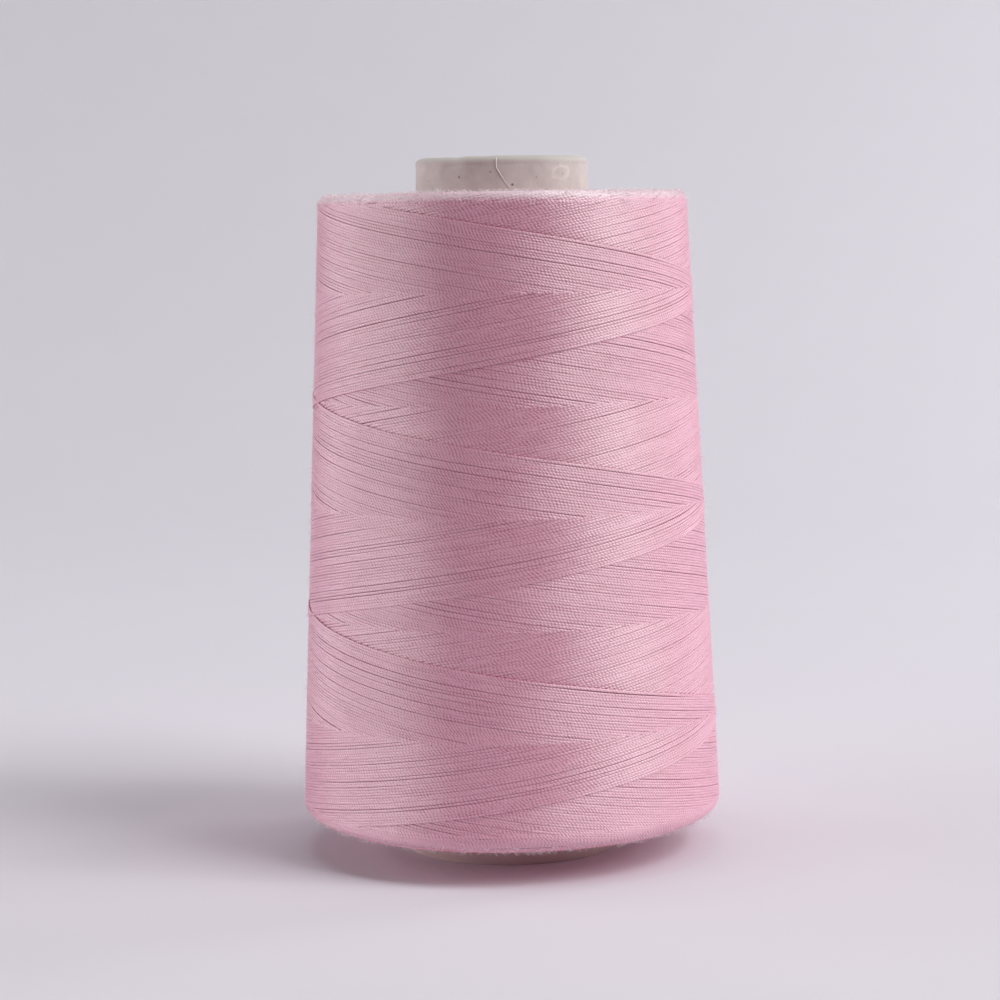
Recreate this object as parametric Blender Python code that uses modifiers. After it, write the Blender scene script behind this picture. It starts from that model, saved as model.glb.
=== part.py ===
"""Cone of sewing thread: thread cross-wound on a tapered paper cone.

Metres, +Z up. The origin is in the middle of the paper cone's foot ring, on the surface it stands on.
Azimuths are counted from the front, -Y, towards the right, +X.
"""

from math import atan2, cos, floor, hypot, pi, radians, sin, tau

import bmesh
import bpy

MM = 0.001
FRONT = radians(-90)

# Paper cone: a straight taper of about two degrees to each side, with a fully rounded nose rim
CONE_HEIGHT = 110.0 * MM
NOSE_RADIUS = 13.5 * MM
FOOT_RADIUS = 17.3 * MM
CONE_WALL = 1.8 * MM
CONE_COLUMNS = 36
RIM_SEGMENTS = 8

# Wound thread: a tapered package between two nearly flat ends
PACKAGE_TOP = 104.0 * MM
PACKAGE_BOTTOM = 5.2 * MM
TOP_RADIUS = 28.9 * MM
BOTTOM_RADIUS = 33.4 * MM
TOP_DISH = 0.8 * MM
BOTTOM_DISH = 0.3 * MM
THREAD_COLUMNS = 36
SEATING_GAP = 0.3 * MM

# Shoulders: a quarter ellipse at each end, as (reach inwards, height, segments)
TOP_SHOULDER = (1.2 * MM, 1.7 * MM, 4)
BOTTOM_SHOULDER = (4.4 * MM, 2.8 * MM, 5)

# Winding: each thread climbs or falls by the pitch in one turn. The newest falling thread and the newest
# climbing thread cross at one place, and again half a turn and half a pitch further on.
WINDING_PITCH = 33.6 * MM
CROSSING_HEIGHT = 72.4 * MM
CROSSING_AZIMUTH = radians(-67)
LAYER_STEP = 0.3 * MM
LATTICE_ROUNDING = 1e-4

# Materials: colour, roughness
PAPER_BOARD = ((0.56, 0.52, 0.49, 1.0), 0.85)
SPUN_THREAD = ((0.70, 0.36, 0.45, 1.0), 0.65)


def clear_scene():
    """Removes every object that the open file holds."""
    for thing in list(bpy.data.objects):
        bpy.data.objects.remove(thing, do_unlink=True)


def new_material(name, colour, roughness):
    """A Principled material with one colour and one roughness."""
    material = bpy.data.materials.new(name)
    material.use_nodes = True
    shader = material.node_tree.nodes["Principled BSDF"]
    shader.inputs["Base Color"].default_value = colour
    shader.inputs["Roughness"].default_value = roughness
    shader.inputs["Metallic"].default_value = 0.0
    return material


def turned_object(name, profile, columns, collection):
    """A closed profile of (radius, height) points at +X, turned once around Z by a Screw modifier.

    The profile runs down the outer side and back up the inner one.
    """
    mesh = bpy.data.meshes.new(name)
    points = [(radius, 0.0, height) for radius, height in profile]
    edges = [(index, (index + 1) % len(points)) for index in range(len(points))]
    mesh.from_pydata(points, edges, [])
    turned = bpy.data.objects.new(name, mesh)
    collection.objects.link(turned)
    screw = turned.modifiers.new("turned", "SCREW")
    screw.axis = "Z"
    screw.angle = tau
    screw.steps = columns
    screw.render_steps = columns
    screw.use_merge_vertices = True
    screw.merge_threshold = 0.01 * MM
    screw.use_smooth_shade = True
    return turned


def cone_radius(height):
    """Outer radius of the paper cone at a height."""
    return FOOT_RADIUS + (NOSE_RADIUS - FOOT_RADIUS) * height / CONE_HEIGHT


def cone_profile():
    """The paper cone's wall: rounded rim, outer side, flat foot, bore."""
    rim_radius = CONE_WALL / 2
    rim_height = CONE_HEIGHT - rim_radius
    rim_centre = cone_radius(rim_height) - rim_radius
    rim = []
    for step in range(RIM_SEGMENTS, -1, -1):
        angle = pi * step / RIM_SEGMENTS
        rim.append((rim_centre + rim_radius * cos(angle), rim_height + rim_radius * sin(angle)))
    foot = [(FOOT_RADIUS, 0.0), (FOOT_RADIUS - CONE_WALL, 0.0)]
    return rim + foot


def flank_radius(height):
    """Radius of the package's straight flank at a height, under the oldest threads that show."""
    share = (height - PACKAGE_BOTTOM) / (PACKAGE_TOP - PACKAGE_BOTTOM)
    return BOTTOM_RADIUS + (TOP_RADIUS - BOTTOM_RADIUS) * share


def shoulder(flank_height, end_height, reach, segments):
    """Points of a quarter ellipse from the flank, which is left out, to the end face."""
    points = []
    for step in range(1, segments + 1):
        angle = pi / 2 * step / segments
        radius = flank_radius(flank_height) - reach * (1 - cos(angle))
        points.append((radius, flank_height + (end_height - flank_height) * sin(angle)))
    return points


def package_profile():
    """The package's outline: end faces, shoulders, flank rows that keep step with the winding, and bore."""
    row_height = WINDING_PITCH / THREAD_COLUMNS
    top_reach, top_height, top_segments = TOP_SHOULDER
    bottom_reach, bottom_height, bottom_segments = BOTTOM_SHOULDER
    rows_above = floor((PACKAGE_TOP - top_height - CROSSING_HEIGHT) / row_height)
    rows_below = floor((CROSSING_HEIGHT - PACKAGE_BOTTOM - bottom_height) / row_height)
    heights = [CROSSING_HEIGHT + row * row_height for row in range(rows_above, -rows_below - 1, -1)]
    flank = [(flank_radius(height), height) for height in heights]
    top = shoulder(heights[0], PACKAGE_TOP, top_reach, top_segments)
    bottom = shoulder(heights[-1], PACKAGE_BOTTOM, bottom_reach, bottom_segments)
    facet_allowance = 1 / cos(pi / THREAD_COLUMNS)
    bore = []
    for height in (PACKAGE_BOTTOM + BOTTOM_DISH, PACKAGE_TOP - TOP_DISH):
        bore.append(((cone_radius(height) + SEATING_GAP) * facet_allowance, height))
    return top[::-1] + flank + bottom + bore


def winding_rise(turn, height):
    """How far the surface stands above the oldest threads, at a part of a turn past the crossing.

    The age of a thread runs from 0, the newest, to 1, the oldest of its direction. The newest falling
    threads lie below their edge and the newest climbing ones above theirs, one layer higher than the old.
    """
    climb = (height - CROSSING_HEIGHT) / WINDING_PITCH
    falling_age = (-climb - turn + LATTICE_ROUNDING) % 1.0
    climbing_age = (climb - turn + LATTICE_ROUNDING) % 1.0
    return LAYER_STEP * (2.0 - falling_age - climbing_age)


def raise_newest_threads(shape):
    """Moves the turned package's outer points out by the layers that lie there."""
    for vertex in shape.verts:
        x, y, height = vertex.co
        radius = hypot(x, y)
        on_outside = PACKAGE_BOTTOM < height < PACKAGE_TOP and radius > TOP_RADIUS - TOP_SHOULDER[0]
        if on_outside:
            growth = 1 + winding_rise(atan2(y, x) / tau, height) / radius
            vertex.co.x *= growth
            vertex.co.y *= growth


def build_paper_cone(collection):
    """The hollow paper cone that the thread is wound on."""
    cone = turned_object("paper_cone", cone_profile(), CONE_COLUMNS, collection)
    cone.data.materials.append(new_material("paper_board", *PAPER_BOARD))
    return cone


def build_wound_thread(collection):
    """The thread as one ring-shaped body, with the long shallow steps where newer threads lie on older."""
    package = turned_object("wound_thread", package_profile(), THREAD_COLUMNS, collection)
    depsgraph = bpy.context.evaluated_depsgraph_get()
    mesh = bpy.data.meshes.new_from_object(package.evaluated_get(depsgraph))
    package.modifiers.clear()
    package.data = mesh
    shape = bmesh.new()
    shape.from_mesh(mesh)
    raise_newest_threads(shape)
    bmesh.ops.triangulate(shape, faces=shape.faces[:], quad_method="SHORT_EDGE")
    shape.to_mesh(mesh)
    shape.free()
    mesh.shade_smooth()
    mesh.set_sharp_from_angle(angle=radians(40))
    mesh.materials.clear()
    mesh.materials.append(new_material("spun_thread", *SPUN_THREAD))
    package.rotation_euler.z = FRONT + CROSSING_AZIMUTH
    return package


def main():
    clear_scene()
    collection = bpy.data.collections.new("cone_of_thread")
    bpy.context.scene.collection.children.link(collection)
    build_paper_cone(collection)
    build_wound_thread(collection)


main()
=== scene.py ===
"""Cone of sewing thread as it looks: pink spun thread cross-wound on a paper cone, in a plain studio.

It is laid out as an add-on and run as a script. Metres, +Z up. Azimuths are counted from the front, -Y,
towards the right, +X. Times along a run of thread are counted in turns of the cone.
"""

import random
from functools import partial
from math import atan2, ceil, cos, exp, floor, hypot, pi, radians, sin, sqrt, tau

import bmesh
import bpy
from bpy.props import FloatProperty, FloatVectorProperty, IntProperty, PointerProperty
from mathutils import Matrix, Vector, noise


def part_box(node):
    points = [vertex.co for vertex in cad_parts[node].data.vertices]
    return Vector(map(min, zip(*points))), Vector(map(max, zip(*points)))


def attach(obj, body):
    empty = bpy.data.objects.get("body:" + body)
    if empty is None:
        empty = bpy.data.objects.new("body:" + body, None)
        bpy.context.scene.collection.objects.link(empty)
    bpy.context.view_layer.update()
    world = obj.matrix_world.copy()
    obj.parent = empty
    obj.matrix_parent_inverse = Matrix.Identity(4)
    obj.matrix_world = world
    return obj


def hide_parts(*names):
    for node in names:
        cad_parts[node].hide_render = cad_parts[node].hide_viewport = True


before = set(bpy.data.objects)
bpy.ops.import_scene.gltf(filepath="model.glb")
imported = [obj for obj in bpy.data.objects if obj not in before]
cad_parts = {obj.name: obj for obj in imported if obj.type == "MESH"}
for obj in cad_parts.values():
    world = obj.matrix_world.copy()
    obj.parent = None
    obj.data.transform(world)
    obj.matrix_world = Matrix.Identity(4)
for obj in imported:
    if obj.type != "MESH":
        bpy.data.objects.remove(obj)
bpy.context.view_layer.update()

bl_info = {
    "name": "Cone of Thread",
    "version": (1, 0, 0),
    "blender": (4, 5, 0),
    "location": "View3D > Sidebar > Thread",
    "description": "Builds a cone of cross-wound sewing thread and a plain studio round it",
    "category": "Add Mesh",
}

MM = 0.001
BODY = "root"
PACKAGE_LOW, PACKAGE_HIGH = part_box("wound_thread")
CONE_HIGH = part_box("paper_cone")[1]
STRAND_MAP = "UVMap"

# The beads that two twisted plies show along a thread, in millimetres
PLY_STEP = 0.57


# ==== Sizes and colours that a user may change ====


def linear(colour):
    """Linear red, green and blue of an sRGB colour written as a hex number."""
    channels = []
    for shift in (16, 8, 0):
        value = ((colour >> shift) & 255) / 255
        channels.append(value / 12.92 if value <= 0.04045 else ((value + 0.055) / 1.055) ** 2.4)
    return tuple(channels)


# Colours that serve one place each, all as sRGB hex
# Paler rim of the thread: the fuzz's own paleness with a painted glow of the light from above
RIM_FUZZ_AND_GLOW = linear(0xFBE3EB)
UNDERSIDE_THREAD = linear(0xFF80A8)
# Painted shade of the thread deep between the outer strands
PACKED_THREAD_IN_SHADE = linear(0xA85573)
FUZZ_SHEEN = linear(0xFBE0E9)
FIBRE_TIP = linear(0xFBEFF3)
VEIL, VEIL_TIP = linear(0xF8DEE7), linear(0xFDF7F9)
LINT, LINT_TIP = linear(0xF2ECEE), linear(0xFCFAFB)
# The pink one is painted light that the thread throws back onto the board under it
BOARD_SHADE, BOARD_PINK_BOUNCE, BOARD_SCUFF = linear(0xC3BCB7), linear(0xECC4C4), linear(0xE6DEDA)
FLOOR_CLOUD = linear(0xDFDBE3)
ROOM = linear(0xD2D0D8)


def length_property(name, description, default):
    """A length in metres, shown in the scene's units."""
    return FloatProperty(
        name=name, description=description, default=default, unit="LENGTH", subtype="DISTANCE", precision=5
    )


def angle_property(name, description, default):
    """An angle in radians, shown in degrees."""
    return FloatProperty(
        name=name, description=description, default=default, unit="ROTATION", subtype="ANGLE"
    )


def colour_property(name, description, default):
    """A linear colour, given as an sRGB hex number."""
    return FloatVectorProperty(
        name=name, description=description, default=linear(default), size=3, subtype="COLOR", min=0, max=1
    )


class PackageSizes(bpy.types.PropertyGroup):
    """The form of the wound package."""

    top: length_property("Top", "Height of the upper end face", PACKAGE_HIGH.z)
    bottom: length_property("Bottom", "Height of the lower end face", PACKAGE_LOW.z)
    top_radius: length_property("Top radius", "Flank radius at the upper end", 28.9 * MM)
    bottom_radius: length_property("Bottom radius", "Flank radius at the lower end", 33.4 * MM)
    top_reach: length_property("Top shoulder reach", "How far the upper shoulder turns inwards", 1.2 * MM)
    top_fall: length_property("Top shoulder height", "Height of the upper shoulder", 1.73 * MM)
    bottom_reach: length_property("Bottom shoulder reach", "How far the lower shoulder turns in", 4.4 * MM)
    bottom_rise: length_property("Bottom shoulder height", "Height of the lower shoulder", 2.8 * MM)
    top_dish: length_property("Top dish", "How far the upper end face falls inwards", 0.8 * MM)
    bottom_dish: length_property("Bottom dish", "How far the lower end face rises inwards", 0.3 * MM)


class WindingSizes(bpy.types.PropertyGroup):
    """How the thread is laid."""

    pitch: length_property("Pitch", "Climb or fall of a thread in one turn", 33.6 * MM)
    strands: IntProperty(name="Strands", description="Threads side by side in one pitch", default=78, min=8)
    crossing_height: length_property(
        "Crossing height", "Height where the newest falling and climbing threads cross", 72.4 * MM
    )
    crossing_azimuth: angle_property("Crossing azimuth", "Azimuth of that crossing", radians(-72))
    strand_width: length_property("Strand width", "Width of a thread as it lies pressed", 0.465 * MM)
    strand_height: length_property("Strand height", "Thickness of a thread as it lies pressed", 0.20 * MM)
    layer_step: length_property("Layer step", "How far the newest threads stand above old ones", 0.11 * MM)
    base_lift: length_property("Base lift", "How far the oldest threads stand off the flank", 0.18 * MM)
    top_turn: FloatProperty(
        name="Top turning", description="Part of a turn used to turn back at the top", default=0.040
    )
    bottom_turn: FloatProperty(
        name="Bottom turning", description="Part of a turn used to turn back below", default=0.030
    )
    fibres: IntProperty(name="Fibres", description="Loose fibre ends on the flank", default=8800)


class BoardSizes(bpy.types.PropertyGroup):
    """The paper cone."""

    height: length_property("Height", "Height of the paper cone", CONE_HIGH.z)
    foot_radius: length_property("Foot radius", "Outer radius at the foot", 17.3 * MM)
    nose_radius: length_property("Nose radius", "Outer radius at the nose", 13.5 * MM)
    wall: length_property("Wall", "Thickness of the wound board", 1.8 * MM)
    seam_step: length_property("Seam step", "Height of the outer ply's lap", 0.12 * MM)


class Finishes(bpy.types.PropertyGroup):
    """Colours of the thread and the board."""

    thread: colour_property("Thread", "Dyed spun polyester", 0xF4AEC5)
    thread_shade: colour_property("Thread in grooves", "Between the plies, where it looks deeper", 0xB04E70)
    thread_deep: colour_property("Thread in gaps", "Between strands, where light is trapped", 0xCE6A8E)
    board: colour_property("Board", "Grey-white recycled board", 0xD7D2CD)
    # This colour is mixed in towards the nose's top edge, where it makes the board darker
    board_rim: colour_property("Board rim", "Where handling has soiled the rim", 0xC9C4BF)
    speck: colour_property("Speck", "Printed-paper specks in the pulp", 0x6E5F60)
    floor: colour_property("Floor", "Seamless studio paper", 0xE1DDE5)


class StudioSizes(bpy.types.PropertyGroup):
    """Camera and lights."""

    camera_distance: length_property("Camera distance", "From the cone's axis, along the floor", 0.4185)
    camera_height: length_property("Camera height", "Above the floor", 0.0977)
    camera_tilt: angle_property("Camera tilt", "How far the camera looks down", radians(5.75))
    camera_turn: angle_property("Camera turn", "How far it looks past the axis, to the left", radians(0.156))
    camera_roll: angle_property("Camera roll", "How far the picture leans to the left", radians(0.975))
    focal_length: FloatProperty(name="Focal length", description="In millimetres", default=94.4)
    key_power: FloatProperty(name="Key lights", description="The four on the right, in watts", default=25.8)
    fill_power: FloatProperty(name="Fill lights", description="The four on the left, in watts", default=15.1)
    top_power: FloatProperty(name="Top light", description="The one overhead, in watts", default=3.95)
    wall_power: FloatProperty(name="Wall light", description="The one on the backdrop, in watts", default=2.3)


class ConeSettings(bpy.types.PropertyGroup):
    """All settings of the cone of thread."""

    package: PointerProperty(type=PackageSizes)
    winding: PointerProperty(type=WindingSizes)
    board: PointerProperty(type=BoardSizes)
    finishes: PointerProperty(type=Finishes)
    studio: PointerProperty(type=StudioSizes)


# ==== The wound form ====


def smooth_step(value):
    """0 below 0, 1 above 1, and a soft change between them."""
    value = min(1.0, max(0.0, value))
    return value * value * (3 - 2 * value)


def around_axis(azimuth, radius, height):
    """The point at an azimuth, radius and height."""
    return Vector((radius * sin(azimuth), -radius * cos(azimuth), height))


class WoundForm:
    """Where a point of the wound surface lies.

    A meridian length is the height on the flank, and goes on round the shoulders and over the end faces.
    A lift is a distance outwards from the surface under the oldest threads that show.
    """

    def __init__(self, settings):
        for group in (settings.package, settings.winding):
            for name in group.__annotations__:
                setattr(self, name, getattr(group, name))
        self.flank_top = self.top - self.top_fall
        self.flank_bottom = self.bottom + self.bottom_rise
        self.top_arc = quarter_ellipse(self.top_reach, self.top_fall)
        self.bottom_arc = quarter_ellipse(self.bottom_reach, self.bottom_rise)
        self.taper = (self.bottom_radius - self.top_radius) / (self.top - self.bottom)
        self.spacing = self.pitch / self.strands
        # Each end: its height, where the flank ends, the shoulder's reach, height and arc, dish, way out
        self.ends = (
            (self.top, self.flank_top, self.top_reach, self.top_fall, self.top_arc, self.top_dish, 1.0),
            (self.bottom, self.flank_bottom, self.bottom_reach, self.bottom_rise, self.bottom_arc,
             self.bottom_dish, -1.0),
        )
        # The threads turn back a whole number of half pitches from the crossing, so that runs join there
        half = self.pitch / 2
        self.upper_end = self.crossing_height + ceil((self.top - self.crossing_height) / half) * half
        self.lower_end = self.crossing_height - round((self.crossing_height - self.bottom) / half) * half
        self.run_turns = (self.upper_end - self.lower_end) / self.pitch

    def flank_radius(self, height):
        """Radius of the straight flank at a height."""
        return self.bottom_radius - self.taper * (height - self.bottom)

    def meridian(self, length):
        """Radius, height and outward direction at a meridian length."""
        for face, flank, reach, rise, arc, dish, up in self.ends:
            shoulder_end = flank + up * arc
            if up * length > up * shoulder_end:
                over = up * (length - shoulder_end)
                edge = self.flank_radius(flank) - reach
                slope = dish / (edge - cone_radius_at(face))
                return edge - over, face - up * over * slope, slope, up
            if up * length > up * flank:
                angle = pi / 2 * up * (length - flank) / arc
                radius = self.flank_radius(flank) - reach * (1 - cos(angle))
                return radius, flank + up * rise * sin(angle), cos(angle), up * sin(angle)
        return self.flank_radius(length), length, 1.0, self.taper

    def place(self, azimuth, length, lift):
        """The point at an azimuth, a meridian length and a lift."""
        radius, height, out, up = self.meridian(length)
        return around_axis(azimuth, radius + lift * out, height + lift * up)

    def rise(self, azimuth, length):
        """Lift of the outermost threads: a step for each direction, lower as its threads get older."""
        turn = (azimuth - self.crossing_azimuth) / tau
        climb = (length - self.crossing_height) / self.pitch
        return self.lift_of(length, (-climb - turn) % 1.0, (climb - turn) % 1.0)

    def lift_of(self, length, age, crossing_age):
        """Lift of the outermost threads by both directions' ages. The steps die out on the shoulders."""
        above = (length - self.flank_top + 1.5 * MM) / (self.top_arc + 1.5 * MM)
        below = (self.flank_bottom + 1.0 * MM - length) / (0.6 * self.bottom_arc)
        steps = 2.0 - age - crossing_age
        steps += (1.0 - steps) * smooth_step(max(above, below))
        return self.base_lift + self.layer_step * steps

    def run_length(self, turned, falls):
        """Meridian length of a run that has turned so far from where it turned back."""
        to_go = self.run_turns - turned
        above, below = (turned, to_go) if falls else (to_go, turned)
        if above < below:
            return self.upper_end - self.pitch * hypot(above, self.top_turn)
        return self.lower_end + self.pitch * hypot(below, self.bottom_turn)

    def run_azimuth(self, age, turned, falls):
        """Azimuth on a run, by its age in strands at that place."""
        # A climbing run is a falling one mirrored at the height of the crossing
        turns_back = self.upper_end if falls else 2 * self.crossing_height - self.lower_end
        from_crossing = (self.crossing_height - turns_back) / self.pitch
        return self.crossing_azimuth + tau * (from_crossing - age / self.strands + turned)


def quarter_ellipse(reach, height):
    """Length of a quarter of an ellipse."""
    return pi / 4 * sqrt(2 * (reach * reach + height * height))


# ==== Mesh helpers ====

# A pressed thread's section as (angle from across, share of the way round): the seam is underneath
SECTION = [(-90, 0.0), (0, 0.25), (45, 0.375), (90, 0.5), (135, 0.625), (180, 0.75), (270, 1.0)]


def add_strand(shape, stations, form, thickness=1.0):
    """Adds one thread as a closed tube: a grid rolled round its stations, seam merged, ends filled.

    A station is (azimuth, meridian length, lift of the middle, way along the thread in millimetres).
    """
    strand = bmesh.new()
    strand_map = strand.loops.layers.uv.new(STRAND_MAP)
    columns = len(SECTION) - 1
    rows = len(stations) - 1
    made = bmesh.ops.create_grid(strand, x_segments=rows, y_segments=columns, size=1.0)["verts"]
    places = {}
    for vertex in made:
        azimuth, length, lift, along = stations[round((vertex.co.x + 1) / 2 * rows)]
        angle, share = SECTION[round((vertex.co.y + 1) / 2 * columns)]
        across = thickness * form.strand_width / 2 * cos(radians(angle))
        outward = thickness * form.strand_height / 2 * sin(radians(angle))
        places[vertex] = (along, share)
        vertex.co = form.place(azimuth, length + across, lift + outward)
    for face in strand.faces:
        face.smooth = True
        for loop in face.loops:
            loop[strand_map].uv = places[loop.vert]
    bmesh.ops.remove_doubles(strand, verts=made, dist=0.001 * MM)
    bmesh.ops.holes_fill(strand, edges=[edge for edge in strand.edges if edge.is_boundary], sides=0)
    bmesh.ops.recalc_face_normals(strand, faces=strand.faces[:])
    mesh = bpy.data.meshes.new("strand")
    strand.to_mesh(mesh)
    strand.free()
    shape.from_mesh(mesh)
    bpy.data.meshes.remove(mesh)


def new_piece(name, shape, material, slot, *nodes):
    """A mesh object made of a bmesh, which rides on the cone's body and stands for the named solids."""
    mesh = bpy.data.meshes.new(name)
    shape.to_mesh(mesh)
    shape.free()
    return dress_piece(name, mesh, material, slot, *nodes)


def dress_piece(name, mesh, material, slot, *nodes):
    """An object of a finished mesh, with its material and body; the solids it stands for are hidden. The slot
    is not used.
    """
    mesh.materials.clear()
    mesh.materials.append(material)
    piece = bpy.data.objects.new(name, mesh)
    bpy.context.scene.collection.objects.link(piece)
    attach(piece, BODY)
    if nodes:
        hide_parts(*nodes)
    return piece


def spin_profile(shape, profile, steps):
    """A closed profile of (radius, height) points turned once round Z."""
    corners = [shape.verts.new((radius, 0.0, height)) for radius, height in profile]
    edges = [shape.edges.new((a, b)) for a, b in zip(corners, corners[1:] + corners[:1])]
    bmesh.ops.spin(
        shape, geom=corners + edges, axis=(0, 0, 1), cent=(0, 0, 0), angle=tau, steps=steps,
        use_merge=True,
    )
    for face in shape.faces:
        face.smooth = True


# ==== Materials ====


def set_inputs(node, inputs):
    """Gives sockets of a node a value, another node's socket, or another node's first output in use."""
    for name, value in inputs.items():
        socket = node.inputs[name]
        if isinstance(value, bpy.types.Node):
            value = next(output for output in value.outputs if output.enabled)
        if isinstance(value, bpy.types.NodeSocket):
            node.id_data.links.new(value, socket)
        else:
            socket.default_value = (*value, 1.0) if socket.type == "RGBA" else value


def add_node(tree, kind, inputs=None, **settings):
    """Adds one node: its settings, which decide what sockets it has, and then its sockets."""
    made = tree.nodes.new("ShaderNode" + kind)
    for name, value in settings.items():
        setattr(made, name, value)
    set_inputs(made, inputs or {})
    return made


def new_material(name):
    """An empty material, the function that adds a node to it, and its Principled shader."""
    material = bpy.data.materials.new(name)
    material.use_nodes = True
    tree = material.node_tree
    return material, partial(add_node, tree), tree.nodes["Principled BSDF"]


def seen_aslant(add):
    """A factor for gloss alone: 0 where the surface faces the viewer and 1 where it is seen aslant."""
    weight = add("LayerWeight", {"Blend": 0.5})
    return add("MapRange", {"Value": weight.outputs["Facing"], "From Min": 0.02, "From Max": 0.28})


def spun_thread_material(finishes):
    """Plied spun polyester, dyed: two plies with a Z twist, so slanting beads, softly lustrous and fuzzy.

    The beads are 0.57 mm apart along the thread. Fibres are 0.015 mm thick, too fine to show, so their
    streaks are drawn about 0.07 mm wide.
    """
    material, add, shader = new_material("spun_polyester_thread")
    strand_map = add("UVMap", uv_map=STRAND_MAP)
    split = add("SeparateXYZ", {0: strand_map})
    along, around = split.outputs["X"], split.outputs["Y"]
    beads = add("Math", {0: along, 1: pi / PLY_STEP}, operation="MULTIPLY")
    phase = add("Math", {0: around, 1: -tau, 2: beads}, operation="MULTIPLY_ADD")
    wave = add("Math", {0: phase}, operation="SINE")
    ridge = add("Math", {0: wave}, operation="ABSOLUTE")
    # Streaks of fibre, 0.3 mm long
    streak_place = add("VectorMath", {0: strand_map, 1: (2.2, 9.0, 1.0)}, operation="MULTIPLY")
    streaks = add("TexNoise", {"Vector": streak_place, "Scale": 1.6, "Detail": 3.0})
    relief = add("Math", {0: streaks, 1: 0.55, 2: ridge}, operation="MULTIPLY_ADD")
    bump = add("Bump", {"Distance": 0.026 * MM, "Height": relief})
    # Grain from fibre to fibre, in patches 0.4 mm long
    grain_place = add("VectorMath", {0: strand_map, 1: (1.5, 2.6, 1.0)}, operation="MULTIPLY")
    grain = add("TexNoise", {"Vector": grain_place, "Scale": 1.7})
    # Stretches of about 7 mm of a thread are a little deeper or paler than its neighbours
    stretch_place = add("VectorMath", {0: strand_map, 1: (0.15, 0.0, 0.0)}, operation="MULTIPLY")
    stretches = add("TexNoise", {"Vector": stretch_place, "Scale": 1.0})
    lifted = add("Math", {0: stretches, 1: 1.1, 2: -0.55}, operation="MULTIPLY_ADD")
    grained = add("Math", {0: grain, 1: 1.5, 2: relief}, operation="MULTIPLY_ADD")
    uneven = add("Math", {0: grained, 1: lifted}, operation="ADD")
    groove = add("MapRange", {"Value": uneven, "From Min": 0.87, "From Max": 1.72})
    off_top = add("Math", {0: around, 1: 0.5}, operation="SUBTRACT")
    sideness = add("Math", {0: off_top}, operation="ABSOLUTE")
    top_side = add(
        "MapRange", {"Value": sideness, "From Min": 0.12, "From Max": 0.25, "To Min": 1.0, "To Max": 0.0}
    )
    tint = add(
        "Mix", {"Factor": groove, "A": finishes.thread_shade, "B": finishes.thread}, data_type="RGBA"
    )
    between = add("Mix", {"Factor": top_side, "A": finishes.thread_deep, "B": tint}, data_type="RGBA")
    # The upper rim is paler: the loose fibre ends that crowd it are paler, and a painted glow on them stands
    # for the light from above that this fuzz catches
    coordinates = add("TexCoord")
    height = add("SeparateXYZ", {0: coordinates.outputs["Object"]})
    at_rim = add(
        "MapRange",
        {
            "Value": height.outputs["Z"], "From Min": PACKAGE_HIGH.z - 1.2 * MM,
            "From Max": PACKAGE_HIGH.z - 0.3 * MM, "To Max": 0.75,
        },
        interpolation_type="SMOOTHSTEP",
    )
    level_place = add(
        "VectorMath", {0: coordinates.outputs["Object"], 1: (1.0, 1.0, 0.0)}, operation="MULTIPLY"
    )
    off_axis = add("VectorMath", {0: level_place}, operation="LENGTH")
    at_edge = add(
        "MapRange",
        {"Value": off_axis, "From Min": 24.0 * MM, "From Max": 27.5 * MM, "To Max": at_rim},
        interpolation_type="SMOOTHSTEP",
    )
    rim_tinted = add("Mix", {"Factor": at_edge, "A": between, "B": RIM_FUZZ_AND_GLOW}, data_type="RGBA")
    # Light reaches the underside through other threads, so it looks deeper there
    below = add(
        "MapRange",
        {
            "Value": height.outputs["Z"], "From Min": PACKAGE_LOW.z + 0.1 * MM,
            "From Max": PACKAGE_LOW.z + 0.5 * MM, "To Min": 0.9, "To Max": 0.0,
        },
    )
    deepened = add("Mix", {"Factor": below, "A": rim_tinted, "B": UNDERSIDE_THREAD}, data_type="RGBA")
    # The gloss of combed fibres spreads across them, so the tangent along them is turned by a quarter
    lengthways = add("Tangent", direction_type="UV_MAP", uv_map=STRAND_MAP)
    # Grooves between the beads lie in shade, so they shine less, except where the surface is seen aslant
    raised = add("MapRange", {"Value": uneven, "From Min": 0.9, "From Max": 1.8})
    shine = add("MapRange", {"Value": raised, "To Min": 0.15, "To Max": 1.15})
    shine_here = add("MapRange", {"Value": seen_aslant(add), "To Min": shine})
    set_inputs(shader, {
        "Base Color": deepened, "Normal": bump, "Tangent": lengthways, "Specular IOR Level": shine_here,
        "Anisotropic": 0.93, "Anisotropic Rotation": 0.25, "Roughness": 0.45, "IOR": 2.1,
        "Sheen Weight": 0.3, "Sheen Tint": FUZZ_SHEEN, "Sheen Roughness": 0.5,
    })
    return material


def packed_thread_material(finishes):
    """The same thread seen in the depth of the package, between the outer strands, coloured darker as a
    painted shade of that depth.
    """
    material, add, shader = new_material("packed_thread")
    coordinates = add("TexCoord")
    mottle = add("TexNoise", {"Vector": coordinates.outputs["Object"], "Scale": 900.0})
    tint = add("Mix", {"Factor": mottle, "A": PACKED_THREAD_IN_SHADE, "B": finishes.thread_deep}, data_type="RGBA")
    set_inputs(shader, {"Base Color": tint, "Roughness": 0.9})
    return material


def fibre_material(name, deep, pale):
    """Single loose fibres, between two colours: nearly clear polyester, so paler than their thread."""
    material, add, shader = new_material(name)
    coordinates = add("TexCoord")
    variety = add("TexNoise", {"Vector": coordinates.outputs["Object"], "Scale": 500.0})
    tint = add("Mix", {"Factor": variety, "A": deep, "B": pale}, data_type="RGBA")
    set_inputs(shader, {"Base Color": tint, "Roughness": 0.5})
    return material


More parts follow.
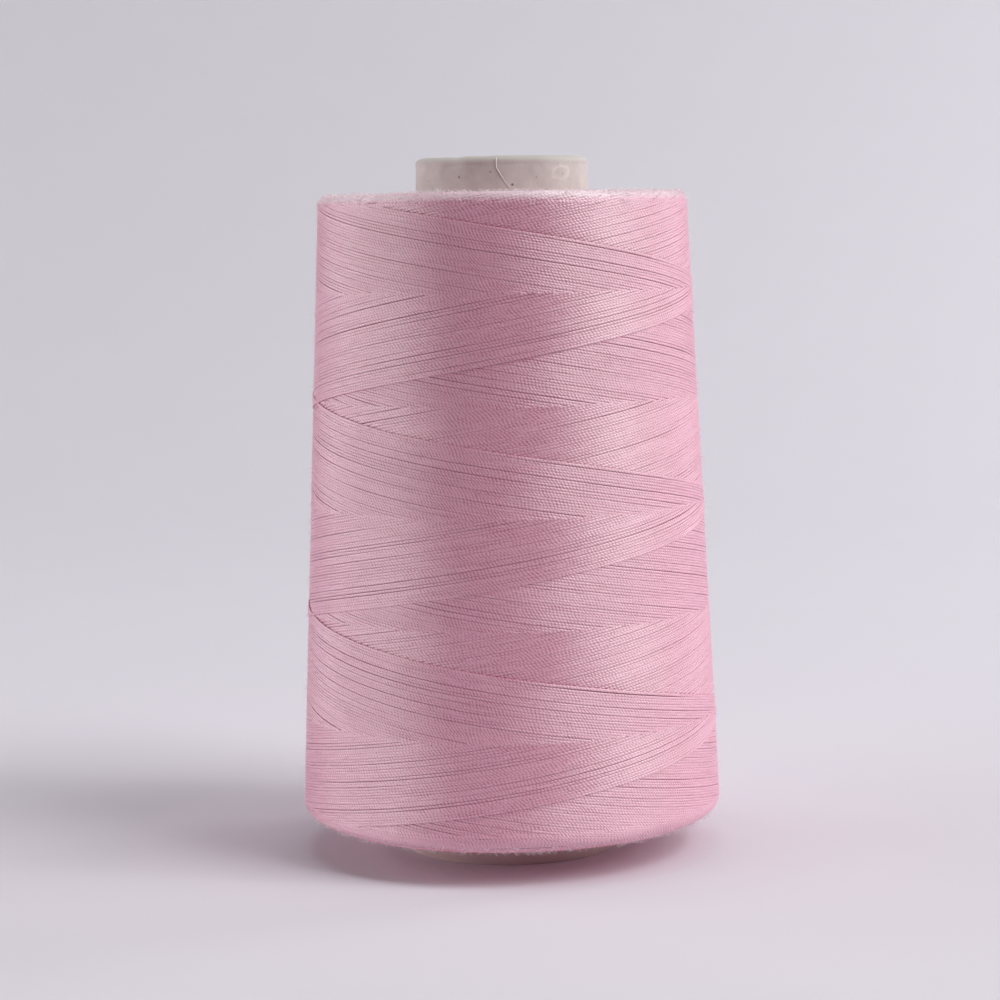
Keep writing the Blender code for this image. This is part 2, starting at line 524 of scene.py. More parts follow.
def near_spot(add, place, spot, inner, outer, stretch=(1.0, 1.0, 1.0)):
    """A factor that is 1 within a distance of a spot on the cone and falls to 0 at another.

    A spot is an azimuth in degrees and a distance below the nose in millimetres.
    """
    azimuth, down = spot
    centre = on_board(radians(azimuth), CONE_HIGH.z - down * MM, 0.0)
    away = add("VectorMath", {0: place, 1: tuple(centre)}, operation="SUBTRACT")
    scaled = add("VectorMath", {0: away, 1: stretch}, operation="MULTIPLY")
    distance = add("VectorMath", {0: scaled}, operation="LENGTH")
    return add(
        "MapRange",
        {"Value": distance, "From Min": inner, "From Max": outer, "To Min": 1.0, "To Max": 0.0},
        interpolation_type="SMOOTHSTEP",
    )


# Specks that show on the nose: azimuth in degrees, distance below the nose and radius in millimetres
NOSE_SPECKS = (
    (-29.0, 3.2, 0.17), (-33.6, 2.5, 0.08), (-7.4, 2.5, 0.13), (6.8, 4.5, 0.20), (44.0, 2.8, 0.09),
    (-58.0, 3.6, 0.10), (23.0, 3.4, 0.09), (74.0, 1.9, 0.10), (118.0, 3.0, 0.18), (170.0, 2.2, 0.15),
    (-120.0, 3.7, 0.20), (-152.0, 2.7, 0.10),
)
SCUFF_SPOT = (42.6, 2.6)


def board_material(finishes):
    """Recycled pulp board, pressed and burnished: matt, grey-white, mottled, with dark specks and fibres.

    It is darker towards the nose's top edge, and under the thread's lower edge a painted pink glow stands for
    light the thread throws back onto it. Specks are up to 0.4 mm across and a few millimetres apart.
    """
    material, add, shader = new_material("recycled_pulp_board")
    coordinates = add("TexCoord")
    place = coordinates.outputs["Object"]
    mottle = add("TexNoise", {"Vector": place, "Scale": 260.0, "Detail": 5.0, "Roughness": 0.6})
    stretched = add("VectorMath", {0: place, 1: (1.0, 1.0, 0.35)}, operation="MULTIPLY")
    fibres = add("TexNoise", {"Vector": stretched, "Scale": 1900.0, "Detail": 4.0, "Distortion": 0.6})
    height = add("SeparateXYZ", {0: place})
    # Darker towards the nose's top edge
    rim_tinted = add(
        "MapRange",
        {
            "Value": height.outputs["Z"], "From Min": CONE_HIGH.z - 1.3 * MM,
            "From Max": CONE_HIGH.z - 0.5 * MM, "To Max": 0.6,
        },
        interpolation_type="SMOOTHSTEP",
    )
    shade = add("MapRange", {"Value": mottle, "From Min": 0.3, "From Max": 0.7})
    ground = add("Mix", {"Factor": shade, "A": BOARD_SHADE, "B": finishes.board}, data_type="RGBA")
    rim_darkened = add("Mix", {"Factor": rim_tinted, "A": ground, "B": finishes.board_rim}, data_type="RGBA")
    # Painted pink light: under the thread's lower edge the board is tinted as if lit by light thrown back
    # from the thread
    pink_bounce = add(
        "MapRange",
        {
            "Value": height.outputs["Z"], "From Min": PACKAGE_LOW.z,
            "From Max": PACKAGE_LOW.z + 2.0 * MM, "To Min": 0.65, "To Max": 0.0,
        },
    )
    bounce_tinted = add("Mix", {"Factor": pink_bounce, "A": rim_darkened, "B": BOARD_PINK_BOUNCE}, data_type="RGBA")
    speck_cells = add("TexVoronoi", {"Vector": place, "Scale": 420.0})
    speck_choice = add("TexNoise", {"Vector": place, "Scale": 330.0, "Detail": 1.0})
    near = add(
        "MapRange",
        {"Value": speck_cells, "From Min": 0.06, "From Max": 0.16, "To Min": 1.0, "To Max": 0.0},
    )
    chosen = add("MapRange", {"Value": speck_choice, "From Min": 0.6, "From Max": 0.66, "To Max": 0.8})
    speck = add("Math", {0: near, 1: chosen}, operation="MULTIPLY")
    specked = add("Mix", {"Factor": speck, "A": bounce_tinted, "B": finishes.speck}, data_type="RGBA")
    dirt = None
    for azimuth, down, radius in NOSE_SPECKS:
        spot = near_spot(add, place, (azimuth, down), 0.5 * radius * MM, 1.3 * radius * MM)
        if dirt is not None:
            spot = add("Math", {0: dirt, 1: spot}, operation="MAXIMUM")
        dirt = spot
    dotted = add("Mix", {"Factor": dirt, "A": specked, "B": finishes.speck}, data_type="RGBA")
    scuff_stretch = (1.0, 1.0, 1.6)
    # How far the scuff's edge wanders
    wander = 1.5 * MM
    wobble = add("VectorMath", {0: mottle.outputs["Color"], 1: (2 * wander,) * 3}, operation="MULTIPLY")
    shifted = add("VectorMath", {0: place, 1: wobble}, operation="ADD")
    centred = add("VectorMath", {0: shifted, 1: (wander,) * 3}, operation="SUBTRACT")
    filled = near_spot(add, centred, SCUFF_SPOT, 1.6 * MM, 2.3 * MM, scuff_stretch)
    hollow = near_spot(add, centred, SCUFF_SPOT, 0.9 * MM, 1.9 * MM, scuff_stretch)
    ring = add("Math", {0: filled, 1: hollow}, operation="SUBTRACT")
    worn = add("Math", {0: ring, 1: shade}, operation="MULTIPLY")
    scuffed = add("Mix", {"Factor": worn, "A": dotted, "B": BOARD_SCUFF}, data_type="RGBA")
    bump = add("Bump", {"Strength": 0.5, "Distance": 0.06 * MM, "Height": fibres})
    surface = {"Base Color": scuffed, "Normal": bump, "Roughness": 0.75, "Specular IOR Level": 0.3}
    set_inputs(shader, surface)
    return material


def studio_paper_material(finishes):
    """Seamless studio paper: matt, nearly white, with the faintest cloudiness."""
    material, add, shader = new_material("seamless_paper")
    coordinates = add("TexCoord")
    clouds = add("TexNoise", {"Vector": coordinates.outputs["Object"], "Scale": 25.0, "Detail": 6.0})
    tint = add("Mix", {"Factor": clouds, "A": FLOOR_CLOUD, "B": finishes.floor}, data_type="RGBA")
    set_inputs(shader, {"Base Color": tint, "Roughness": 0.95, "Specular IOR Level": 0.2})
    return material


# ==== The wound thread ====


def strand_offsets(strands, seed):
    """How far each strand lies from its even place, in spacings.

    Most strands touch, and a gap opens after every few. Of the newest, the gap after the sixth shows most.
    """
    dice = random.Random(seed)
    steps = []
    while len(steps) < strands:
        steps += [0.97] * dice.choice((0, 1, 1, 2, 2, 3)) + [dice.choice((1.03, 1.05, 1.07, 1.11, 1.17))]
    steps = steps[:strands]
    steps[1], steps[2], steps[5] = 0.98, 0.97, 1.14
    scale = strands / sum(steps)
    offsets = []
    place = 0.0
    for index, step in enumerate(steps):
        offsets.append(place * scale - index)
        place += step
    return offsets


def run_marks(form, age):
    """Places along a run where it has a station, in turns: close where it shows and where it bends."""
    showing, hidden, turning, dip = 1 / 72, 1 / 30, 0.012, 1 / (4 * form.strands)
    marks = {0.0, form.run_turns}
    for cell in range(ceil(2 * form.run_turns) + 1):
        # The crossing threads' age falls from 1 to 0 in each half turn, and passes the run's own age once
        start = (age / form.strands + cell - 1) / 2
        meeting = start + (1 - age / form.strands) / 2
        for low, high, step in ((start, meeting, showing), (meeting, start + 0.5, hidden)):
            pieces = max(1, round((high - low) / step))
            marks.update(low + (high - low) * index / pieces for index in range(pieces + 1))
        marks.update(meeting + index * dip for index in range(-1, 5))
    marks.update(index * turning for index in range(1, 7))
    marks.update(form.run_turns - index * turning for index in range(1, 7))
    closest = 0.0008
    kept = [0.0]
    for mark in sorted(marks):
        if kept[-1] + closest < mark < form.run_turns - closest:
            kept.append(mark)
    return kept + [form.run_turns]


def along_path(form, along, places):
    """Stations of a path of (azimuth, meridian length, lift): along is the way at its start."""
    stations = []
    before = None
    for place in places:
        point = form.place(*place)
        if before is not None:
            along += (point - before).length / MM
        before = point
        stations.append((*place, along))
    return stations


def run_stations(form, age, falls, offset, plies, seed):
    """Stations of one run of thread from one end of the package to the other.

    Where the run meets threads of its own age it dips from the top layer under the other direction's.
    The newest falling thread draws away from the next one on the right of the package.
    The way along starts from the azimuth, so that the plies of neighbouring runs lie nearly in step. Of
    plies, the first is the shift of the beads in millimetres, the second how closely they follow on.
    """
    ply_shift, ply_rate = plies
    places, twists = [], []
    for turned in run_marks(form, age):
        age_here = age + 0.25 - 0.5 * turned / form.run_turns
        crossing = (age_here / form.strands - 2 * turned) % 1.0
        on_top = smooth_step((crossing * form.strands - age_here + 1.4) / 1.6)
        shared_drift = noise.noise(Vector((turned * 5.0, age * 0.23, seed)))
        own_drift = noise.noise(Vector((turned * 9.0, age * 3.7, seed + 40.0)))
        azimuth = form.run_azimuth(age_here, turned, falls)
        beside = 0.0
        if falls and age < 1.2 and cos(azimuth) > 0:
            right = sin(azimuth)
            beside = max(0.0, smooth_step((right + 0.1) / 0.6) - smooth_step((right - 0.72) / 0.2))
        sideways = (offset - 0.26 * beside + 0.25 * shared_drift + 0.12 * own_drift) * form.spacing
        length = form.run_length(turned, falls) + (-sideways if falls else sideways)
        lift = form.lift_of(length, age_here / form.strands, crossing)
        lift -= form.strand_height * (1.5 - on_top - 0.3 * beside)
        places.append((azimuth, length, lift))
        twists.append(0.6 * noise.noise(Vector((turned * 20.0, age * 5.1, seed + 80.0))))
    start = form.run_azimuth(age, 0.0, falls) * form.top_radius / MM + ply_shift
    walked = along_path(form, start, places)
    return [(*place, along * ply_rate + twist) for (*place, along), twist in zip(walked, twists)]


def wind_runs(form, falls, seed):
    """All runs of one direction."""
    dice = random.Random(seed)
    shape = bmesh.new()
    offsets = strand_offsets(form.strands, seed)
    newest = 1.0 if falls else 0.5
    ply_shift = 0.0
    for strand in range(form.strands):
        ply_shift += PLY_STEP * dice.uniform(-0.7, 0.56)
        # Whole steps further on each thread has its own grain, but its beads keep their place
        plies = (ply_shift + PLY_STEP * dice.randrange(400), dice.uniform(0.95, 1.05))
        stations = run_stations(form, strand + newest, falls, offsets[strand], plies, seed)
        add_strand(shape, stations, form, dice.uniform(0.96, 1.04))
    return shape


def wind_under_body(form):
    """The package under the outer strands: one closed ring, with the same long steps as the surface.

    It stays low near a step, so that the newest strands hide it.
    """
    shape = bmesh.new()
    depth = 0.82 * form.strand_height
    reach = 0.8 * MM
    lowest, highest = form.flank_bottom - form.bottom_arc, form.flank_top + form.top_arc
    rows = round((highest - lowest) / (0.5 * MM))
    lengths = [highest + (lowest - highest) * row / rows for row in range(rows + 1)]
    outside = []
    for length in lengths:
        radius, height, out, up = form.meridian(length)
        outside.append((radius - depth * out, height - depth * up))
    bore = [
        (cone_radius_at(form.bottom) - 0.5 * MM, form.bottom + form.bottom_dish + 2 * depth),
        (cone_radius_at(form.top) - 0.5 * MM, form.top - form.top_dish - 2 * depth),
    ]
    spin_profile(shape, outside + bore, 120)
    for vertex in shape.verts:
        x, y, height = vertex.co
        radius = hypot(x, y)
        if form.flank_bottom < height < form.flank_top and radius > form.top_radius - form.top_reach:
            azimuth = atan2(x, -y)
            growth = 1 + min(form.rise(azimuth, height + reach * side) for side in (-1, 0, 1)) / radius
            vertex.co.x *= growth
            vertex.co.y *= growth
    bmesh.ops.recalc_face_normals(shape, faces=shape.faces[:])
    return shape


def shoulder_rings(form, upper, seed):
    """Threads that turn back lie on one another along a shoulder, so there they show as whole rings."""
    dice = random.Random(seed)
    shape = bmesh.new()
    ring_step = 0.42 * MM
    steps = 96
    _, flank, _, _, arc, _, up = form.ends[0 if upper else 1]
    first, last = (0.1, 1.05) if upper else (-0.02, 0.95)
    start, stop = flank + up * first * arc, flank + up * last * arc
    rings = round(abs(stop - start) / ring_step)
    for ring in range(rings + 1):
        level = start + (stop - start) * ring / rings
        joint = pi + dice.uniform(-0.8, 0.8)
        places = []
        for step in range(steps + 1):
            azimuth = joint + (tau + radians(3)) * step / steps
            wave = Vector((2 * sin(azimuth), 2 * cos(azimuth), ring * 0.4 + seed))
            slip = 0.55 * ring_step * noise.noise(wave)
            sink = 0.5 * form.strand_height * (1.0 + noise.noise(wave * 1.7))
            under = 0.6 * form.strand_height if step == 0 else 0.0
            lift = form.base_lift + 0.3 * form.strand_height - sink - under
            places.append((azimuth, level + slip, lift))
        add_strand(shape, along_path(form, dice.random() * 5.0, places), form)
    return shape


def end_arcs(form, upper, seed):
    """The turning-back arcs of the older layers, which show on an end face."""
    dice = random.Random(seed)
    shape = shoulder_rings(form, upper, seed)
    ring_step = 0.41 * MM
    arcs = 26
    half_arc = 0.042
    turning, first = (form.top_turn, 0.9) if upper else (form.bottom_turn, 0.85)
    face, flank, reach, _, arc, _, up = form.ends[0 if upper else 1]
    start = flank + up * first * arc
    width = form.flank_radius(flank) - reach - (cone_radius_at(face) + 0.15 * MM)
    stop = flank + up * arc + up * width
    rings = floor(abs(stop - start) / ring_step)
    for ring in range(rings + 1):
        length = start + (stop - start) * ring / rings
        phase = dice.random()
        for turn in range(arcs):
            centre = tau * (turn + phase + 0.3 * (dice.random() - 0.5)) / arcs
            depth = 0.10 * MM * dice.random()
            slip = 0.35 * ring_step * (dice.random() - 0.5)
            places = []
            for index in range(-4, 5):
                turned = half_arc * index / 4
                sink = form.pitch * (hypot(turned, turning) - turning)
                place = length + slip + 0.5 * ring_step * index / 4
                places.append((centre + tau * turned, place, 0.35 * form.strand_height - depth - sink))
            add_strand(shape, along_path(form, dice.random() * 5.0, places), form)
    return shape


# ==== The paper cone ====


def cone_radius_at(height):
    """Outer radius of the paper cone at a height."""
    board = bpy.context.scene.thread_cone.board
    return board.foot_radius + (board.nose_radius - board.foot_radius) * height / board.height


def board_profile(board):
    """The wall's outline: rounded rim, outer side, foot with softened corners, bore."""
    rim = board.wall / 2
    rim_height = board.height - rim
    centre = cone_radius_at(rim_height) - rim
    turns = [radians(degrees) for degrees in range(180, -1, -15)]
    outline = [(centre + rim * cos(turn), rim_height + rim * sin(turn)) for turn in turns]
    soft = 0.25 * MM
    near_nose = [rim_height - 0.25 * MM * row for row in range(1, 25)]
    down_side = [near_nose[-1] * (1 - row / 24) for row in range(1, 24)]
    for height in near_nose + down_side:
        outline.append((cone_radius_at(height), height))
    outline += [
        (board.foot_radius - 0.07 * MM, soft * 0.35),
        (board.foot_radius - soft, 0.0),
        (board.foot_radius - board.wall / 2, 0.0),
        (board.foot_radius - board.wall + soft, 0.0),
        (board.foot_radius - board.wall + 0.05 * MM, soft * 0.35),
    ]
    for row in range(1, 16):
        height = rim_height * row / 16
        outline.append((cone_radius_at(height) - board.wall, height))
    return outline


def ring_noise(azimuth, waves, level):
    """Smooth noise that closes on itself round the cone."""
    return noise.noise(Vector((waves * sin(azimuth), waves * cos(azimuth), level)))


def rolled_lip(down, azimuth):
    """How far the pressed lip of the nose bulges, with the crease under it. Down is in millimetres."""
    bulge = 0.035 * exp(-(((down - 0.8) / 0.45) ** 2))
    wander = down - 1.45 - 0.25 * ring_noise(azimuth, 4, 2.0)
    depth = 0.015 + 0.04 * smooth_step(0.6 - 0.9 * sin(azimuth))
    return (bulge - depth * exp(-((wander / 0.16) ** 2))) * MM


def build_board_shape(board):
    """The paper cone with an uneven, slightly dented rim and the lap of its outer ply."""
    shape = bmesh.new()
    spin_profile(shape, board_profile(board), 160)
    lap_azimuth = radians(150)
    for vertex in shape.verts:
        x, y, height = vertex.co
        azimuth = atan2(x, -y)
        radius = hypot(x, y)
        near_rim = smooth_step((height - board.height + 4 * MM) / (4 * MM))
        wave = ring_noise(azimuth, 3, height * 120)
        out_of_round = 0.16 * MM * wave * near_rim + 0.05 * MM * wave
        dent_place = (azimuth - radians(-33)) / radians(9)
        dent = 0.22 * MM * near_rim * smooth_step(1 - abs(dent_place))
        outer = radius > cone_radius_at(height) - 0.3 * board.wall
        lap = 0.0
        if outer and height > 0.5 * MM:
            past_lap = ((azimuth - lap_azimuth) % tau) / tau
            lap = board.seam_step * (0.5 - past_lap) * smooth_step(past_lap * 60)
            lap += rolled_lip((board.height - height) / MM, azimuth)
        new_radius = radius + out_of_round - dent + lap
        drop = (0.10 * MM * ring_noise(azimuth, 2.2, 7.0) + 0.6 * dent) * near_rim
        vertex.co = around_axis(azimuth, new_radius, height - abs(drop))
    bmesh.ops.recalc_face_normals(shape, faces=shape.faces[:])
    return shape


# ==== Loose fibres ====


def fibre_mesh(name, fibres, thickness):
    """Fibres as a mesh: each is a list of points, made round and thin at its tip."""
    curve = bpy.data.curves.new(name, "CURVE")
    curve.dimensions = "3D"
    curve.bevel_depth = thickness / 2
    curve.bevel_resolution = 0
    curve.use_fill_caps = True
    for points in fibres:
        spline = curve.splines.new("POLY")
        spline.points.add(len(points) - 1)
        for index, point in enumerate(points):
            spline.points[index].co = (*point, 1.0)
            spline.points[index].radius = 1.0 - 0.6 * index / (len(points) - 1)
    holder = bpy.data.objects.new(name, curve)
    bpy.context.scene.collection.objects.link(holder)
    depsgraph = bpy.context.evaluated_depsgraph_get()
    mesh = bpy.data.meshes.new_from_object(holder.evaluated_get(depsgraph))
    bpy.data.objects.remove(holder)
    bpy.data.curves.remove(curve)
    mesh.shade_smooth()
    return mesh


def grow_fibres(form, count, seed):
    """Fibre ends all over the package: they leave the surface along a thread and curl off it."""
    dice = random.Random(seed)
    fibres = []
    lowest, highest = form.flank_bottom - 0.5 * form.bottom_arc, form.flank_top + form.top_arc
    for _ in range(count):
        azimuth = dice.uniform(-pi, pi)
        length = dice.uniform(lowest, highest)
        lift = form.rise(azimuth, length) - 0.05 * MM
        reach = dice.choice((0.5, 0.7, 0.7, 0.9, 0.9, 1.2, 1.6)) * MM * dice.uniform(0.7, 1.2)
        stand = reach * dice.uniform(0.15, 0.75)
        heading = dice.choice((-1, 1)) * dice.uniform(0.6, 1.0)
        slant = dice.uniform(-0.5, 0.5)
        curl = dice.uniform(-0.6, 0.6)
        points = []
        for index in range(3):
            share = index / 2
            sideways = reach * share * heading * cos(curl * share * 2)
            upward = reach * (share * slant + 0.35 * sin(curl * share * 3))
            outward = stand * sin(share * pi * 0.5 * dice.uniform(0.85, 1.15))
            radius = form.flank_radius(length)
            points.append(form.place(azimuth + sideways / radius, length + upward * 0.6, lift + outward))
        fibres.append(points)
    return fibres


def edge_fibres(form, upper, count, seed):
    """Fibre ends that stand off an end of the package: a soft veil over its edge."""
    dice = random.Random(seed)
    fibres = []
    for _ in range(count):
        azimuth = dice.uniform(-pi, pi)
        if upper:
            length = form.flank_top + form.top_arc * dice.uniform(0.15, 1.0) + 2.0 * MM * dice.random() ** 4
        else:
            length = form.flank_bottom - form.bottom_arc * dice.uniform(0.3, 1.1)
        reach = dice.uniform(0.5, 1.3) * MM
        stand = dice.uniform(0.2, 0.8 if upper else 0.9) * MM
        heading = dice.choice((-1, 1)) * dice.uniform(0.3, 1.0)
        slant = dice.uniform(-0.5, 0.5)
        radius = form.meridian(length)[0]
        points = []
        for share in (0.0, 0.5, 1.0):
            lift = stand * sin(share * dice.uniform(1.2, 1.9))
            across = reach * share * slant * dice.uniform(0.6, 1.4)
            points.append(form.place(azimuth + reach * share * heading / radius, length + across, lift))
        fibres.append(points)
    return fibres


def on_board(azimuth, height, lift):
    """A point a little off the paper cone's outer side."""
    return around_axis(azimuth, cone_radius_at(height) + lift, height)


# The long stray fibre on the nose: azimuth in degrees and distance below the nose in millimetres
STRAY_ROUTE = (
    (-3.3, 0.35), (-3.4, 1.0), (-3.3, 1.85), (-2.4, 2.2), (-0.2, 3.1), (2.0, 4.0), (4.0, 4.6), (5.2, 4.95),
)
# Tufts of lint where the cone leaves the thread: azimuth and spread in degrees, and number of fibres
LINT_TUFTS = (
    (-49, 8, 150), (-38, 7, 10), (12, 7, 10), (47, 7, 8), (150, 7, 12), (-130, 7, 10),
)
FOOT_LINT = 420


def stray_fibres(seed):
    """The bits of lint on the paper cone: a long kinked fibre, and small tufts at the thread's edge."""
    dice = random.Random(seed)
    nose = CONE_HIGH.z
    long_fibre = [on_board(radians(azimuth), nose - down * MM, 0.06 * MM) for azimuth, down in STRAY_ROUTE]
    tufts = []
    for centre, spread, count in LINT_TUFTS:
        for _ in range(count):
            azimuth = radians(centre + dice.uniform(-spread, spread))
            height = PACKAGE_HIGH.z + dice.uniform(0.0, 0.95) * MM
            heading = dice.uniform(-0.09, 0.09)
            lift = dice.uniform(0.05, 0.8) * MM
            curl = dice.uniform(-1.2, 1.2)
            tufts.append([
                on_board(
                    azimuth + heading * step / 4,
                    height + 0.35 * MM * sin(curl * step / 2) + 0.06 * MM * step,
                    lift + 0.06 * MM * step,
                )
                for step in range(5)
            ])
    foot_lint = []
    for _ in range(FOOT_LINT):
        azimuth = dice.uniform(-pi, pi)
        height = PACKAGE_LOW.z - (1.5 * dice.random() ** 1.5 - 0.2) * MM
        heading = dice.uniform(-0.05, 0.05)
        foot_lint.append([
            on_board(
                azimuth + heading * step / 4,
                height - 0.1 * MM * step * dice.random(),
                0.12 * MM * (1 + step % 3),
            )
            for step in range(5)
        ])
    return [long_fibre], tufts + foot_lint


# ==== Studio ====


def add_soft_light(name, stand, aim, size, watts):
    """A square soft light at a place, turned towards another."""
    light = bpy.data.lights.new(name, "AREA")
    light.shape = "SQUARE"
    light.size = size
    light.energy = watts
    lamp = bpy.data.objects.new(name, light)
    bpy.context.scene.collection.objects.link(lamp)
    lamp.location = stand
    lamp.rotation_euler = (Vector(aim) - Vector(stand)).to_track_quat("-Z", "Y").to_euler()
    lamp.visible_camera = False


# Soft lights round the cone: group, azimuth and elevation in degrees, size, share of the group's power
ROUND_LIGHTS = (
    ("key", "key_power", 62, 38, 0.82, 0.386),
    ("key_high", "key_power", 59, 54, 0.72, 0.244),
    ("key_low", "key_power", 83, 16, 0.62, 0.235),
    ("key_back", "key_power", 124, 12, 0.7, 0.135),
    ("fill_front", "fill_power", -60, 12, 0.5, 0.271),
    ("fill_side", "fill_power", -80, 18, 0.6, 0.268),
    ("fill_back", "fill_power", -102, 16, 0.62, 0.209),
    ("fill_far", "fill_power", -120, 16, 0.6, 0.252),
)
ROUND_LIGHT_DISTANCE = 1.6

# Soft lights from above and on the backdrop: group, place, aim, size, share
PLACED_LIGHTS = (
    ("top", "top_power", (0.0, 0.0, 1.6), (0.0, 0.0, 0.05), 0.72, 1.0),
    ("wall", "wall_power", (0.75, 0.45, 0.6), (-0.3, 1.25, 0.15), 0.6, 1.0),
)


def add_lights(studio):
    """All lights of the studio."""
    middle = Vector((0.0, 0.0, 0.05))
    for name, group, azimuth, elevation, size, share in ROUND_LIGHTS:
        level = ROUND_LIGHT_DISTANCE * cos(radians(elevation))
        above = ROUND_LIGHT_DISTANCE * sin(radians(elevation))
        stand = middle + around_axis(radians(azimuth), level, above)
        add_soft_light(name, stand, middle, size, share * getattr(studio, group))
    for name, group, stand, aim, size, share in PLACED_LIGHTS:
        add_soft_light(name, stand, aim, size, share * getattr(studio, group))


def studio_world():
    """A pale room beyond the paper that the camera sees, but that gives no light of its own."""
    world = bpy.data.worlds.new("pale_room")
    world.use_nodes = True
    tree = world.node_tree
    sight = add_node(tree, "LightPath").outputs["Is Camera Ray"]
    set_inputs(tree.nodes["Background"], {"Color": ROOM, "Strength": sight})
    return world


def build_backdrop():
    """Seamless paper: a wide flat floor that turns up behind the cone into a wall."""
    # Metres from the cone's axis to the front edge and to the bend, the bend's radius, height, half width
    front, flat, fillet, top, half_width = -0.24, 0.45, 0.95, 1.9, 1.7
    profile = [(front + (flat - front) * step / 10, 0.0) for step in range(10)]
    for angle in range(0, 91, 3):
        turn = radians(angle)
        profile.append((flat + fillet * sin(turn), fillet * (1 - cos(turn))))
    profile.append((flat + fillet, top))
    shape = bmesh.new()
    line = [shape.verts.new((-half_width, depth, height)) for depth, height in profile]
    edges = [shape.edges.new(pair) for pair in zip(line, line[1:])]
    made = bmesh.ops.extrude_edge_only(shape, edges=edges)["geom"]
    moved = [part for part in made if isinstance(part, bmesh.types.BMVert)]
    bmesh.ops.translate(shape, verts=moved, vec=(2 * half_width, 0, 0))
    for face in shape.faces:
        face.smooth = True
        if face.normal.dot(Vector((0, 0, 1)) - face.calc_center_median() * 0.5) < 0:
            face.normal_flip()
    return shape


# ==== Operators and panel ====


class THREADCONE_OT_paper_cone(bpy.types.Operator):
    """Builds the paper cone with its worn rim and lapped outer ply"""

    bl_idname = "thread_cone.paper_cone"
    bl_label = "Paper Cone"

    def execute(self, context):
        settings = context.scene.thread_cone
        material = board_material(settings.finishes)
        shape = build_board_shape(settings.board)
        new_piece("paper_cone_board", shape, material, "paper_board", "paper_cone")
        return {"FINISHED"}


class THREADCONE_OT_wound_thread(bpy.types.Operator):
    """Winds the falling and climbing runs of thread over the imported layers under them"""

    bl_idname = "thread_cone.wound_thread"
    bl_label = "Wound Thread"

    def execute(self, context):
        settings = context.scene.thread_cone
        form = WoundForm(settings)
        thread = spun_thread_material(settings.finishes)
        packed = packed_thread_material(settings.finishes)
        new_piece("packed_layers", wind_under_body(form), packed, "spun_thread", "wound_thread")
        new_piece("falling_runs", wind_runs(form, True, 11), thread, "spun_thread")
        new_piece("climbing_runs", wind_runs(form, False, 23), thread, "spun_thread")
        new_piece("upper_end_turns", end_arcs(form, True, 31), thread, "spun_thread")
        new_piece("lower_end_turns", end_arcs(form, False, 37), thread, "spun_thread")
        return {"FINISHED"}


class THREADCONE_OT_loose_fibres(bpy.types.Operator):
    """Adds the fuzz on the thread and the bits of lint on the paper cone"""

    bl_idname = "thread_cone.loose_fibres"
    bl_label = "Loose Fibres"

    def execute(self, context):
        settings = context.scene.thread_cone
        form = WoundForm(settings)
        finishes = settings.finishes
        material = fibre_material("loose_fibre", finishes.thread, FIBRE_TIP)
        veil_material = fibre_material("veil_fibre", VEIL, VEIL_TIP)
        lint_material = fibre_material("lint_fibre", LINT, LINT_TIP)
        fuzz = fibre_mesh("thread_fuzz", grow_fibres(form, settings.winding.fibres, 5), 0.034 * MM)
        dress_piece("thread_fuzz", fuzz, material, "spun_thread")
        long_fibre, lint = stray_fibres(8)
        veil = edge_fibres(form, True, 4200, 6) + edge_fibres(form, False, 2000, 7)
        for name, fibres, thickness, finish in (
            ("edge_fuzz", veil, 0.075 * MM, veil_material),
            ("stray_fibre", long_fibre, 0.2 * MM, lint_material),
            ("lint", lint, 0.05 * MM, lint_material),
        ):
            dress_piece(name, fibre_mesh(name, fibres, thickness), finish, "spun_thread")
        return {"FINISHED"}


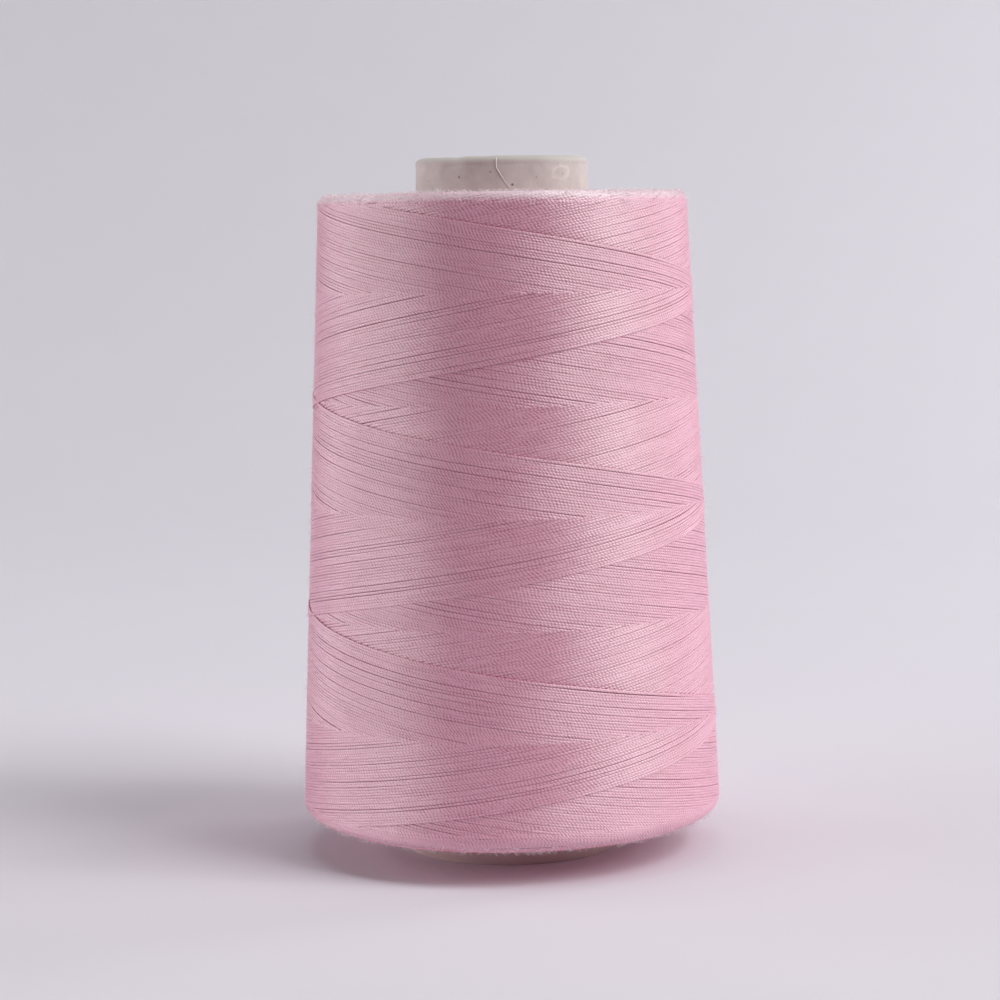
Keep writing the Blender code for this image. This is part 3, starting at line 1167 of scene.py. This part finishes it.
class THREADCONE_OT_studio(bpy.types.Operator):
    """Sets up the seamless backdrop, the soft lights and the camera"""

    bl_idname = "thread_cone.studio"
    bl_label = "Studio"

    def execute(self, context):
        settings = context.scene.thread_cone
        studio = settings.studio
        mesh = bpy.data.meshes.new("seamless_backdrop")
        shape = build_backdrop()
        shape.to_mesh(mesh)
        shape.free()
        mesh.materials.append(studio_paper_material(settings.finishes))
        backdrop = bpy.data.objects.new("seamless_backdrop", mesh)
        context.scene.collection.objects.link(backdrop)

        add_lights(studio)
        context.scene.world = studio_world()
        context.scene.view_settings.view_transform = "Standard"

        data = bpy.data.cameras.new("camera")
        data.lens = studio.focal_length
        data.sensor_width = 36.0
        camera = bpy.data.objects.new("camera", data)
        context.scene.collection.objects.link(camera)
        turned = Matrix.Rotation(studio.camera_turn, 4, "Z")
        tilted = Matrix.Rotation(pi / 2 - studio.camera_tilt, 4, "X")
        rolled = Matrix.Rotation(-studio.camera_roll, 4, "Z")
        stand = Matrix.Translation((0.0, -studio.camera_distance, studio.camera_height))
        camera.matrix_world = stand @ turned @ tilted @ rolled
        context.scene.camera = camera
        return {"FINISHED"}


class THREADCONE_PT_panel(bpy.types.Panel):
    """Lists the cone's pieces and its settings"""

    bl_idname = "THREADCONE_PT_panel"
    bl_label = "Cone of Thread"
    bl_space_type = "VIEW_3D"
    bl_region_type = "UI"
    bl_category = "Thread"

    def draw(self, context):
        for step in STEPS:
            self.layout.operator(step.bl_idname)
        settings = context.scene.thread_cone
        for part in settings.__annotations__:
            group = getattr(settings, part)
            box = self.layout.box()
            for name in group.__annotations__:
                box.prop(group, name)


STEPS = (
    THREADCONE_OT_paper_cone,
    THREADCONE_OT_wound_thread,
    THREADCONE_OT_loose_fibres,
    THREADCONE_OT_studio,
)
GROUPS = (PackageSizes, WindingSizes, BoardSizes, Finishes, StudioSizes, ConeSettings)
CLASSES = (*GROUPS, *STEPS, THREADCONE_PT_panel)


def register():
    for item in CLASSES:
        bpy.utils.register_class(item)
    bpy.types.Scene.thread_cone = PointerProperty(type=ConeSettings)


def unregister():
    del bpy.types.Scene.thread_cone
    for item in reversed(CLASSES):
        bpy.utils.unregister_class(item)


def corners(box):
    """A box as two plain lists of numbers."""
    return [list(corner) for corner in box]


def main():
    register()
    bpy.ops.thread_cone.paper_cone()
    bpy.ops.thread_cone.wound_thread()
    bpy.ops.thread_cone.loose_fibres()
    bpy.ops.thread_cone.studio()


if __name__ == "__main__":
    main()
